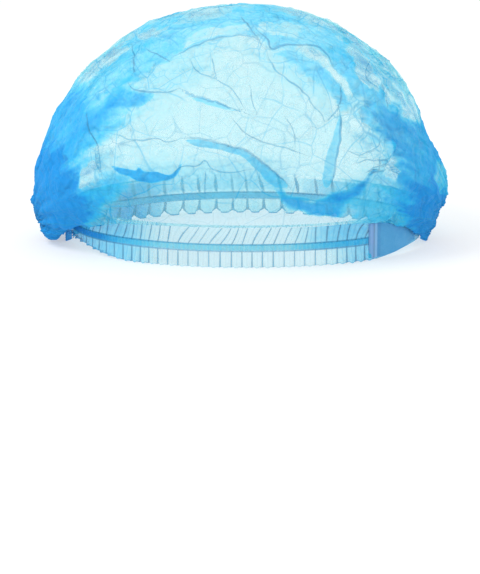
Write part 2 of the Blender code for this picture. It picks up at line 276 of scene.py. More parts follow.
def crownMaterial():
    weave = Weave("thinCrownCloth")
    rest = weave.node("ShaderNodeAttribute", {"attribute_name": "rest"}, {}, "Vector")
    strand = weave.node("ShaderNodeAttribute", {"attribute_name": "strand"}, {}, "Vector")
    wide, wideSlope, bent = crumpleNet(weave, rest, 0.030, 0.00080, 0.50)
    small, smallSlope, bent = crumpleNet(weave, rest, 0.0135, 0.00060, 0.34)
    hair, hairSlope, _ = crumpleNet(weave, rest, 0.0062, 0.00042, 0.42)
    streak = weave.noise(strand, 1.0, 3.0, 0.65)
    feather = weave.noise(rest, 170.0, 4.0, 0.7) * 0.6 + streak * 1.3 - 0.95
    turn = weave.node("ShaderNodeSeparateXYZ", {}, {0: strand}, 0)
    fan = (turn * 7.4 + streak * 5.0).sine()
    cloud = weave.noise(bent, 75.0, 2.0, 0.6)
    rough = weave.attribute("crumpled")
    zones = 1.3 * (weave.attribute("faintZone") + feather * 2.0).step(-1.0, 1.0)
    zones = zones + 3.3 * (weave.attribute("softZone") + feather * 2.2).step(-1.0, 1.0)
    zones = zones + 4.0 * (weave.attribute("middleZone") + feather * 1.6).step(-1.0, 1.0)
    zones = zones + 8.5 * (weave.attribute("deepZone") + feather * 1.6).step(-1.0, 1.0) * (0.55 + 0.9 * streak)
    zones = zones + 11.0 * (weave.attribute("darkZone") + feather * 1.6).step(-1.0, 1.0) * (0.5 + streak)
    pale = (weave.attribute("paleZone") + feather * 1.4).step(-0.6, 1.0)
    bunched = weave.attribute("gather")
    layers = 1.3 - 0.75 * pale + zones * (1 - 0.85 * pale) + bunched * (0.55 + 0.9 * streak + 0.22 * fan)
    layers = layers + (0.25 + rough) * (cloud - 0.5) * 3.0
    layers = layers.most(0.5)
    # dark lines along the front's creases and the crumples' cell edges: painted crease shade over the denser folded
    # cloth
    side = weave.attribute("creaseSide")
    nearby = 1 - weave.attribute("creaseGap").step(1.2, 2.4)
    crease = (1 - (side * side).step(0.05, 0.75)) * nearby
    broken = weave.noise(rest, 45.0, 2.0).step(0.25, 0.7)
    calmer = 1 - (zones * 0.10).least(0.75)
    net = (wide * (0.50 + 0.30 * rough)).most(small * (0.30 + 0.40 * rough)).most(hair * (0.19 + 0.22 * rough))
    lines = (crease * (0.55 + 0.45 * broken)).most(net * calmer)
    uneven = weave.noise(rest, 90.0, 2.0)
    # the gathers' pleat lines near the hem: painted shade in their folds
    lines = lines.most(pleatShadeLines(weave, 0.8, 1.3) * weave.attribute("gatherFade") * uneven.step(0.25, 0.65))
    lines = lines.most(fan.step(0.80, 0.99) * (bunched * 0.22).least(0.6))
    height = wideSlope * -0.0014 + smallSlope * -0.0009 + hairSlope * -0.0005 + crease * 0.0008
    height = height + streak * 0.0010 + fan * bunched * 0.00008
    return weave.finish(clothShader(weave, layers, lines, height, rest))


def pleatShadeLines(weave, valley, ridge):
    # thin dark lines along the valleys and the ridges of the pleats, each this strong: painted shade in the folds, over
    # the denser cloth of their steep flanks
    sine, cosine = weave.attribute("waveSin"), weave.attribute("waveCos")
    near = 1 - (sine * sine).step(0.015, 0.16)
    return near * ((-1 * cosine).step(0.2, 0.5) * valley + cosine.step(0.2, 0.5) * ridge)


def lineAt(height, level, half):
    # 1 where a height is within this much of a level
    gap = (height - level) / half
    return 1 - (gap * gap).step(0.2, 1.0)


def hemMaterial(name, side):
    spec = gathers[side]
    weave = Weave(name)
    where = weave.place()
    height = weave.attribute("height")
    strength = weave.attribute("strength")
    low, high = 11.0, 15.6
    inBand = height.step(low - 0.3, low + 0.3) * (1 - height.step(high - 0.3, high + 0.3))
    below = 1 - height.step(low - 0.3, low + 0.3)
    # pleat lines: painted shade along the pleat folds
    pleats = pleatShadeLines(weave, spec["valleyLine"], spec["ridgeLine"]) * strength * (1 - inBand)
    band = lineAt(height, low, 0.75).most(lineAt(height, high, 0.75))
    edge = (1 - weave.attribute("edgeGap").step(0.35, 1.1)) * spec["edgeLine"]
    ribs = weave.attribute("rib") * inBand
    uneven = weave.noise(where, 180.0, 3.0)
    # dark marks at the foot of each pleat on the strip's left part: painted shadows under the frill
    pleatFootShadow = (1 - height.step(1.8, 3.2)) * weave.attribute("waveCos").step(0.0, 0.4) * weave.attribute("leftward")
    lines = (pleats * (0.40 + 0.6 * uneven)).most(band * spec["bandLine"]).most(edge).most(pleatFootShadow * spec["marks"])
    layers = 0.95 + weave.attribute("gather") + inBand * (spec["bandLayers"] + weave.attribute("leftward") * spec["marks"] * 4.0)
    layers = layers + below * spec["frillLayers"] + ribs * spec["ribLayers"]
    lines = lines.most(ribs * spec["ribLayers"] * 0.05)
    relief = ribs * 0.0005 + uneven * 0.0008 - pleats * 0.0006
    return weave.finish(clothShader(weave, layers, lines, relief, where))


# ---- the crown, a bag whose sections come from the same table as the solids
crown = {
    "height": 164.5 * mm,
    "halfWidth": 144.0 * mm,
    "frontReach": 108.0 * mm,
    "backReach": 112.0 * mm,
    "hemTop": 26.8 * mm,
    "collar": 2.0 * mm,
    "frontColumns": 450,
    "backColumns": 200,
    "rows": 148,
}
sectionColumns = ("leftX", "leftZ", "rightX", "rightZ", "frontY", "backY", "sideZ", "spread", "round")
sections = [
    (0.897, 0.060, 0.888, 0.064, 0.835, 0.800, 0.190, 0.50, 1.9),
    (0.940, 0.018, 0.872, 0.018, 0.880, 0.850, 0.225, 0.52, 1.9),
    (0.985, 0.046, 0.893, 0.058, 0.925, 0.905, 0.280, 0.50, 2.0),
    (1.024, 0.170, 0.962, 0.215, 0.965, 0.960, 0.345, 0.50, 2.1),
    (1.004, 0.340, 0.940, 0.340, 0.995, 0.995, 0.430, 0.65, 2.2),
    (0.952, 0.475, 0.858, 0.475, 1.000, 1.000, 0.535, 0.70, 2.2),
    (0.880, 0.595, 0.796, 0.600, 0.960, 0.965, 0.640, 0.70, 2.2),
    (0.782, 0.710, 0.710, 0.705, 0.875, 0.880, 0.735, 0.70, 2.2),
    (0.662, 0.810, 0.602, 0.798, 0.733, 0.738, 0.825, 0.70, 2.1),
    (0.520, 0.893, 0.488, 0.886, 0.563, 0.568, 0.895, 0.70, 2.0),
    (0.360, 0.953, 0.342, 0.950, 0.390, 0.395, 0.952, 0.70, 2.0),
    (0.180, 0.988, 0.170, 0.987, 0.193, 0.198, 0.987, 0.70, 2.0),
]

# Where cloth lies over cloth on the front: extra layers, softness of the edge in mm, and the outline in
# mm right of and above the middle of the front edge
overlapColumns = ("name", "layers", "soft", "outline")
overlaps = [
    ("topBand", 2.6, 1.4, [(-104, 135), (-87, 151), (-73, 169), (-46, 176), (-26, 174), (-12, 183), (14, 184), (30, 177), (40, 171), (66, 161), (85, 147), (95, 129), (104, 112), (87, 117), (69, 129), (67, 135), (49, 152), (35, 153), (19, 152), (13, 159), (0, 161), (-12, 161), (-23, 159), (-35, 154), (-45, 150), (-59, 141), (-69, 135), (-80, 128), (-90, 126), (-106, 117)]),
    ("rightRun", 1.9, 2.6, [(51, 144), (66, 146), (85, 154), (110, 130), (120, 112), (127, 96), (108, 91), (94, 97), (81, 104), (69, 111), (59, 121), (52, 131)]),
    ("leftVeil", 1.4, 6.0, [(-100, 103), (-80, 131), (-59, 149), (-31, 159), (-21, 152), (-31, 135), (-42, 121), (-59, 109), (-87, 105)]),
    ("shoulderVeil", 1.5, 3.0, [(3, 153), (28, 152), (45, 138), (62, 121), (59, 110), (45, 117), (31, 128), (12, 141)]),
    ("rightShoulder", 2.8, 1.3, [(19, 148), (24, 153), (35, 154), (45, 147), (57, 136), (66, 128), (74, 116), (71, 109), (64, 110), (59, 121), (42, 136), (28, 144)]),
    ("leftDeep", 7.0, 6.0, [(-195, 20), (-190, 90), (-165, 135), (-128, 145), (-104, 124), (-84, 124), (-66, 121), (-69, 113), (-80, 102), (-88, 95), (-97, 84), (-104, 76), (-108, 65), (-104, 56), (-92, 52), (-94, 44), (-104, 30), (-112, 10), (-130, -30), (-190, -30)]),
    ("leftDeepest", 9.5, 6.0, [(-180, 46), (-175, 92), (-124, 86), (-115, 62), (-110, 44), (-108, 22), (-108, -10), (-170, -10)]),
    ("leftPatch", 4.5, 1.0, [(-90, 126), (-80, 122), (-62, 121), (-71, 113), (-87, 110), (-99, 114)]),
    ("rightLow", 3.0, 3.0, [(57, 53), (73, 60), (87, 67), (99, 73), (112, 72), (118, 50), (110, 32), (87, 31), (76, 37), (69, 44)]),
    ("leftLow", 4.5, 2.5, [(-116, 57), (-102, 60), (-94, 65), (-81, 63), (-85, 57), (-91, 50), (-95, 45), (-102, 43), (-111, 31), (-128, 24), (-128, 48)]),
    ("lowBlue", 1.0, 4.0, [(-104, 76), (-62, 76), (-22, 75), (10, 74), (24, 64), (20, 52), (-40, 50), (-100, 50)]),
    ("lowerLens", 6.0, 0.6, [(-95, 72), (-85, 70), (-76, 68), (-75, 71), (-71, 67), (-62, 68), (-54, 65), (-49, 66), (-43, 75), (-45, 70), (-49, 62), (-62, 60), (-76, 61), (-82, 64), (-87, 66)]),
    ("middleOverlap", 3.2, 0.6, [(-43, 90), (-28, 90), (-12, 86), (1, 82), (10, 75), (21, 67), (32, 56), (21, 57), (9, 67), (0, 78), (-14, 82), (-28, 84), (-36, 86)]),
    ("middleOverlapDeep", 4.5, 0.8, [(5, 76), (13, 74), (23, 65), (32, 55), (20, 57), (10, 65)]),
    ("browLens", 3.0, 0.5, [(-45, 126), (-42, 121), (-33, 119), (-20, 116), (-2, 109), (-12, 110), (-25, 113), (-36, 117), (-43, 122)]),
    ("dart", 3.0, 0.6, [(66, 110), (62, 96), (56, 79), (52, 56), (60, 56), (63, 76), (66, 93), (67, 110)]),
    ("bandLens", 7.0, 1.3, [(16, 59), (23, 58), (28, 54), (36, 51), (47, 50), (56, 51), (66, 54), (73, 58), (80, 62), (90, 69), (95, 68), (87, 62), (82, 58), (79, 50), (72, 48), (69, 44), (69, 38), (62, 34), (54, 35), (45, 37), (36, 40), (29, 43), (24, 49), (20, 55)]),
    ("rightDeep", 7.0, 5.5, [(88, 118), (103, 118), (125, 112), (160, 105), (195, 80), (195, 10), (150, -30), (112, -30), (112, 10), (109, 28), (103, 38), (100, 52), (103, 62), (103, 70), (99, 77), (90, 84), (88, 91), (83, 98), (76, 106)]),
    ("rightDeepest", 9.5, 5.0, [(114, 52), (128, 66), (170, 62), (180, 10), (150, -20), (110, -20), (108, 28)]),
]
zoneLayers = [("darkZone", 9.0), ("deepZone", 5.6), ("middleZone", 3.1), ("softZone", 2.0), ("faintZone", 0.0)]
wrapsRound = ("topBand", "rightRun", "leftDeep", "rightDeep")

# Thin bright cells inside the deeper cloth
paleCells = [
    [(-82, 29), (-60, 36), (-20, 40), (30, 40), (62, 36), (74, 30), (60, 26), (0, 24), (-60, 26)],
    [(-54, 169), (-42, 176), (-24, 181), (-10, 182), (-9, 179), (-21, 174), (-35, 171)],
    [(-36, 164), (-24, 166), (-7, 169), (0, 170), (3, 166), (0, 162), (-16, 162), (-31, 159), (-42, 154), (-45, 153), (-40, 159)],
    [(9, 171), (24, 172), (38, 169), (42, 165), (33, 161), (19, 162), (10, 167)],
    [(-75, 164), (-66, 167), (-52, 168), (-54, 164), (-62, 161), (-73, 159)],
    [(-101, 142), (-94, 149), (-82, 155), (-79, 154), (-87, 147), (-95, 142)],
    [(35, 155), (43, 155), (56, 147), (69, 131), (75, 122), (71, 122), (61, 135), (47, 146)],
    [(-71, 34), (-52, 37), (-31, 37), (-7, 37), (21, 37), (28, 40), (45, 37), (62, 33), (76, 32), (62, 31), (38, 29), (10, 24), (-42, 24), (-68, 27)],
    [(-118, 56), (-114, 68), (-106, 76), (-101, 74), (-106, 62), (-112, 55)],
    [(97, 126), (101, 125), (103, 119), (102, 112), (98, 113), (96, 120)],
    [(68, 153), (74, 155), (83, 148), (87, 139), (94, 129), (92, 122), (85, 124), (77, 135), (73, 145)],
    [(106, 124), (114, 120), (122, 106), (120, 100), (110, 106)],
    [(130, 78), (138, 72), (141, 60), (139, 50), (134, 58)],
    [(96, 66), (99, 74), (104, 78), (109, 68), (105, 62), (99, 62)],
]

# The creases of the front: width in mm, how far the cloth stands up along it in mm, and its run
creaseColumns = ("name", "width", "rise", "run")
creases = [
    ("browLeft", 1.0, 1.6, [(-80, 128), (-75, 123), (-62, 122), (-52, 122), (-45, 126)]),
    ("browRight", 1.2, 1.8, [(-45, 126), (-42, 122), (-31, 118), (-19, 115), (-3, 109), (3, 107)]),
    ("browTuck", 0.8, -1.0, [(-45, 126), (-35, 120), (-21, 117), (-7, 110)]),
    ("topFold", 1.0, 1.3, [(-50, 148), (-45, 150), (-35, 154), (-23, 159), (-12, 161), (3, 161), (10, 158), (15, 151)]),
    ("topSlope", 0.9, -1.4, [(15, 151), (19, 142), (24, 135), (35, 129), (42, 122), (46, 114), (54, 107), (56, 96)]),
    ("leftShort", 0.8, -1.0, [(-79, 155), (-77, 147), (-78, 135)]),
    ("leftSlant", 0.7, 0.9, [(-69, 153), (-61, 149), (-51, 144)]),
    ("centreLong", 0.9, -1.4, [(-38, 145), (-31, 136), (-21, 132), (-9, 126), (-3, 117), (1, 109)]),
    ("centreShort", 0.8, 1.0, [(-23, 148), (-21, 138), (-20, 132)]),
    ("centreDrop", 0.8, -0.9, [(4, 126), (5, 117), (8, 108)]),
    ("middleLong", 0.9, 1.6, [(-10, 105), (-2, 96), (7, 90), (17, 86), (31, 83), (43, 79)]),
    ("middleDrop", 0.8, -1.1, [(28, 106), (32, 100), (35, 91), (35, 84)]),
    ("lowFoldLeft", 1.0, 1.6, [(-92, 94), (-82, 90), (-73, 88), (-62, 91), (-52, 88), (-45, 91)]),
    ("lowFoldRight", 1.3, 2.2, [(-45, 91), (-35, 91), (-24, 90), (-12, 86), (0, 83), (10, 76), (21, 67), (32, 56)]),
    ("lowWave", 0.8, 1.2, [(-49, 67), (-44, 72), (-36, 71), (-31, 72), (-28, 77), (-24, 70), (-12, 67), (3, 69)]),
    ("lowDrop", 0.7, -0.8, [(-27, 69), (-28, 58), (-28, 51)]),
    ("crestRight", 1.0, 1.6, [(7, 168), (15, 160), (18, 152), (28, 155), (38, 155), (49, 154), (56, 148), (63, 139)]),
    ("crestLine", 0.8, -1.0, [(-3, 176), (3, 168), (10, 159)]),
    ("dartEdge", 1.2, 1.8, [(66, 111), (66, 96), (63, 76), (60, 56)]),
    ("dartSide", 0.8, -1.0, [(56, 103), (61, 107), (66, 114)]),
    ("rightWing", 0.8, 1.2, [(69, 83), (77, 79), (87, 82), (94, 89)]),
    ("rightLow", 0.8, -1.0, [(75, 73), (84, 76), (95, 75), (101, 77)]),
    ("fanHigh", 0.9, 1.2, [(83, 67), (94, 71), (104, 76)]),
    ("fanMiddle", 0.9, -1.2, [(87, 65), (97, 68), (106, 71)]),
    ("fanLow", 0.8, 1.0, [(94, 74), (101, 69), (108, 65)]),
    ("leftVertical", 0.8, 1.2, [(-109, 109), (-107, 95), (-102, 86), (-100, 76), (-100, 65)]),
    ("leftUpper", 0.8, -1.0, [(-104, 83), (-103, 72), (-99, 62)]),
    ("rightCell", 0.8, 1.0, [(86, 145), (82, 135), (87, 128), (94, 124)]),
    ("rightCellLow", 0.8, -1.0, [(95, 131), (98, 122), (99, 112)]),
    ("shoulderShort", 0.8, -1.0, [(67, 128), (67, 117), (63, 108)]),
]
overhangSteps = {"browRight": 0.2, "lowFoldRight": 1.0, "dartEdge": 0.4, "lowFoldLeft": 0.6}


def smoothBetween(table, position):
    # a smooth curve through the rows of a column, at these row positions
    last = len(table) - 1
    low = np.clip(position.astype(int), 0, last - 1)
    share = position - low
    before, start, end, after = (table[np.clip(low + k, 0, last)] for k in (-1, 0, 1, 2))
    return 0.5 * (
        2 * start
        + (end - before) * share
        + (2 * before - 5 * start + 4 * end - after) * share**2
        + (3 * start - before - 3 * end + after) * share**3
    )


def softStep(value):
    value = np.clip(value, 0.0, 1.0)
    return value * value * (3 - 2 * value)


def signedPower(value, exponent):
    return np.sign(value) * np.abs(value) ** exponent


def crownTable(name, rimValue, collarValue, topValue, scale=1.0):
    column = sectionColumns.index(name)
    return np.array([rimValue, collarValue, *(row[column] * scale for row in sections), topValue])


def crownForm(angle, level):
    spec = crown
    collarZ = spec["hemTop"] + spec["collar"]
    leftX = crownTable("leftX", rim["halfLength"], rim["halfLength"], 0, spec["halfWidth"])
    rightX = crownTable("rightX", rim["halfLength"], rim["halfLength"], 0, spec["halfWidth"])
    frontY = crownTable("frontY", rim["frontDepth"], rim["frontDepth"], 0, spec["frontReach"])
    backY = crownTable("backY", rim["backDepth"], rim["backDepth"], 0, spec["backReach"])
    leftZ = crownTable("leftZ", spec["hemTop"], collarZ, spec["height"], spec["height"])
    rightZ = crownTable("rightZ", spec["hemTop"], collarZ, spec["height"], spec["height"])
    sideZ = crownTable("sideZ", spec["hemTop"], collarZ, spec["height"], spec["height"])
    spread = crownTable("spread", sections[0][7], sections[0][7], 0.7)
    roundFront = crownTable("round", rim["frontExponent"], rim["frontExponent"], 2.0)
    roundBack = crownTable("round", rim["backExponent"], rim["backExponent"], 2.0)
    position = level * (len(leftX) - 1)
    cosine, sine = np.cos(angle), np.sin(angle)
    front, right = sine < 0, cosine > 0
    power = 2 / np.where(front, smoothBetween(roundFront, position), smoothBetween(roundBack, position))
    x = np.where(right, smoothBetween(rightX, position), smoothBetween(leftX, position)) * signedPower(cosine, power)
    y = np.where(front, smoothBetween(frontY, position), smoothBetween(backY, position)) * signedPower(sine, power)
    endShare = 1 / (1 + np.abs(sine / smoothBetween(spread, position)) ** 3)
    endZ = np.where(right, smoothBetween(rightZ, position), smoothBetween(leftZ, position))
    z = endZ * endShare + smoothBetween(sideZ, position) * (1 - endShare)
    return np.stack([x + rim["centre"][0], y + rim["centre"][1], z], axis=-1)


def unitRows(vectors):
    return vectors / np.maximum(np.linalg.norm(vectors, axis=-1, keepdims=True), 1e-12)


def gridNormals(points):
    # outward normals of a grid of points that closes on itself sideways
    across = np.roll(points, -1, axis=1) - np.roll(points, 1, axis=1)
    upward = np.gradient(points, axis=0)
    return unitRows(np.cross(across, upward))


def halfRim(front):
    # the oval's front or back half from the left end to the right one, with its lengths
    turns = np.linspace(math.pi, 0, 1201) * (-1 if front else 1)
    depth = rim["frontDepth"] if front else rim["backDepth"]
    power = 2 / (rim["frontExponent"] if front else rim["backExponent"])
    x = rim["halfLength"] * signedPower(np.cos(turns), power) + rim["centre"][0]
    y = depth * signedPower(np.sin(turns), power) + rim["centre"][1]
    points = np.stack([x, y], axis=-1)
    lengths = np.concatenate([[0], np.cumsum(np.linalg.norm(np.diff(points, axis=0), axis=1))])
    return points, lengths


hem = {
    "frillDrop": 11.0 * mm,
    "bandWidth": 4.6 * mm,
    "top": 26.8 * mm,
    "flare": 1.5 * mm,
    "samples": 9,
    "rows": 30,
    "lobeRise": 4.2 * mm,
    "rightLift": 4.5 * mm,
    "leftLift": 7.0 * mm,
}

# ---- the gathers, shared by the hems and by the crown's lower edge so that they run on
gathers = {
    "front": {"pitch": 7.1 * mm, "depth": 1.3 * mm, "rise": 0.45, "lean": 0.05, "flatFrom": 92.0 * mm, "fade": 15.0 * mm, "seed": 3.1, "bandLayers": 1.0, "frillLayers": -0.45, "slant": 0.42, "lineTop": 17.0 * mm,
              "leftEnd": 4.5, "rightEnd": 5.0, "valleyLine": 2.2, "ridgeLine": 0.3, "edgeLine": 0.5, "bandLine": 1.0, "marks": 2.4, "ribLayers": 1.0, "upperLayers": 0.0},
    "back": {"pitch": 12.6 * mm, "depth": 2.2 * mm, "rise": 0.7, "lean": 0.10, "flatFrom": 1.0, "fade": 20.0 * mm, "seed": 7.7, "bandLayers": 9.0, "frillLayers": 1.4, "slant": -0.15, "lineTop": 12.0 * mm,
             "leftEnd": 7.0, "rightEnd": 4.0, "valleyLine": 0.0, "ridgeLine": 3.4, "edgeLine": 2.6, "bandLine": 1.3, "marks": 0.0, "ribLayers": 9.0, "upperLayers": 2.6},
}


def wander(length, seed, reach=0.03):
    # a slow uneven drift, so that no two pleats are alike
    turn = length / reach
    return np.sin(turn + seed) * 0.6 + np.sin(turn * 2.31 + seed * 1.7) * 0.4 + np.sin(turn * 5.3 + seed * 2.9) * 0.25


def gatherWave(side, length, total, x):
    spec = gathers[side]
    phase = 2 * math.pi * (length / spec["pitch"]) + 1.1 * wander(length, spec["seed"])
    calm = softStep(length / (2 * spec["pitch"])) * softStep((total - length) / (2 * spec["pitch"]))
    calm = calm * softStep((spec["flatFrom"] - x) / (1.5 * spec["pitch"]))
    strength = calm * (0.80 + 0.25 * wander(length, spec["seed"] + 2.0, 0.011))
    return phase, strength


def leanedPhase(phase, side, height, length):
    # above the band the gathers lean sideways, some more than others
    spec = gathers[side]
    slant = spec["slant"] * (1 + 0.9 * wander(length, spec["seed"] + 4.0, 0.021))
    return phase - 2 * math.pi * slant / spec["pitch"] * np.maximum(height - 15.6 * mm, 0)


def nearestOnRun(across, above, run):
    # distance to a polyline, on which side of it, and how far along
    best = np.full(across.shape, 1e9)
    side = np.zeros(across.shape)
    along = np.zeros(across.shape)
    pieces = list(zip(run, run[1:]))
    lengths = [math.dist(a, b) for a, b in pieces]
    walked = 0.0
    for (a, b), length in zip(pieces, lengths):
        dx, dy = (b[0] - a[0]) / length, (b[1] - a[1]) / length
        t = np.clip((across - a[0]) * dx + (above - a[1]) * dy, 0, length)
        gapX, gapY = across - a[0] - dx * t, above - a[1] - dy * t
        gap = np.hypot(gapX, gapY)
        closer = gap < best
        best = np.where(closer, gap, best)
        side = np.where(closer, np.sign(dx * gapY - dy * gapX), side)
        along = np.where(closer, (walked + t) / sum(lengths), along)
        walked += length
    return best, side, along


def roundedOff(outline, closed=True, times=2):
    # cuts the corners of an outline, so that it runs in soft curves
    points = np.array(outline, dtype=float)
    for _ in range(times):
        after = np.roll(points, -1, axis=0)
        cut = np.stack([points * 0.78 + after * 0.22, points * 0.22 + after * 0.78], axis=1).reshape(-1, 2)
        points = cut if closed else np.concatenate([points[:1], cut[:-2], points[-1:]])
    return [tuple(p) for p in points]


def insideOutline(across, above, outline):
    # signed distance to a closed outline, positive inside
    closed = outline + [outline[0]]
    gap, _, _ = nearestOnRun(across, above, closed)
    inside = np.zeros(across.shape, dtype=bool)
    for (x1, y1), (x2, y2) in zip(closed, closed[1:]):
        if y1 == y2:
            continue
        crosses = (above > min(y1, y2)) & (above <= max(y1, y2))
        edgeX = x1 + (above - y1) * (x2 - x1) / (y2 - y1)
        inside ^= crosses & (across < edgeX)
    return np.where(inside, gap, -gap)


def drift(points, reach, seed):
    # smooth random shifts of about -1 to 1, at this size in metres
    shift = Vector((seed, seed * 1.7, -seed))
    return np.array([noise.noise_vector(Vector(p) / reach + shift)[:] for p in points])


def meshFromGrid(name, points, wraps, poles=False):
    rows, columns = points.shape[:2]
    verts = points.reshape(-1, 3)
    faces = []
    wide = columns if wraps else columns - 1
    for r in range(rows - 1):
        for c in range(wide):
            d = (c + 1) % columns
            faces.append((r * columns + c, r * columns + d, (r + 1) * columns + d, (r + 1) * columns + c))
    mesh = bpy.data.meshes.new(name)
    mesh.from_pydata([tuple(v) for v in verts], [], faces)
    mesh.validate()
    mesh.shade_smooth()
    piece = bpy.data.objects.new(name, mesh)
    bpy.context.scene.collection.objects.link(piece)
    return piece


def storeAttribute(piece, name, values):
    vectors = values.shape[-1] == 3
    layer = piece.data.attributes.new(name, "FLOAT_VECTOR" if vectors else "FLOAT", "POINT")
    layer.data.foreach_set("vector" if vectors else "value", np.ascontiguousarray(values, dtype=np.float32).ravel())


def crownAngles():
    def half(count):
        t = np.arange(count) / count
        return math.pi * t - 0.25 * np.sin(2 * math.pi * t)
    return np.concatenate([half(crown["backColumns"]), math.pi + half(crown["frontColumns"])])


def crownLevels():
    # rows at even steps along the wall
    fine = np.linspace(0, 1, 1500)
    reach = np.zeros(1500)
    for angle in (1.5 * math.pi, 0.5 * math.pi, math.pi, 0.0):
        wall = crownForm(np.full(1500, angle), fine)
        reach[1:] += np.cumsum(np.linalg.norm(np.diff(wall, axis=0), axis=1))
    return np.interp(np.linspace(0, reach[-1] * 0.9985, crown["rows"]), reach, fine)


def pleatFan(points):
    # the strip's own pleats run from weld to weld, slack over the head and bunched at the ends
    height = points[..., 2] - 13 * mm
    turn = np.arctan2(height, -(points[..., 1] - rim["centre"][1]))
    relief = np.zeros(points.shape[:2])
    bunching = np.zeros(points.shape[:2])
    for side in (-1, 1):
        endX = rim["centre"][0] + side * rim["halfLength"]
        gap = np.sqrt((points[..., 0] - endX) ** 2 + (points[..., 1] - rim["centre"][1]) ** 2 + height**2)
        near = np.exp(-((gap / (50 * mm)) ** 2))
        fold = 2 / math.pi * np.arcsin(np.sin(turn * 21 + side * 1.3 + 1.2 * np.sin(turn * 3.1 + side)))
        relief += fold * near * 2.6 * mm * np.clip(gap / (26 * mm), 0, 1)
        bunching += near * (0.8 + 0.2 * fold)
    fold = 2 / math.pi * np.arcsin(np.sin(turn * 21 + 0.7 * np.sin(points[..., 0] / (31 * mm))))
    relief += fold * 0.30 * mm
    strand = np.stack([turn * 9.0, points[..., 0] / (45 * mm), np.sign(points[..., 0]) * 0.0], axis=-1)
    return relief, bunching, strand


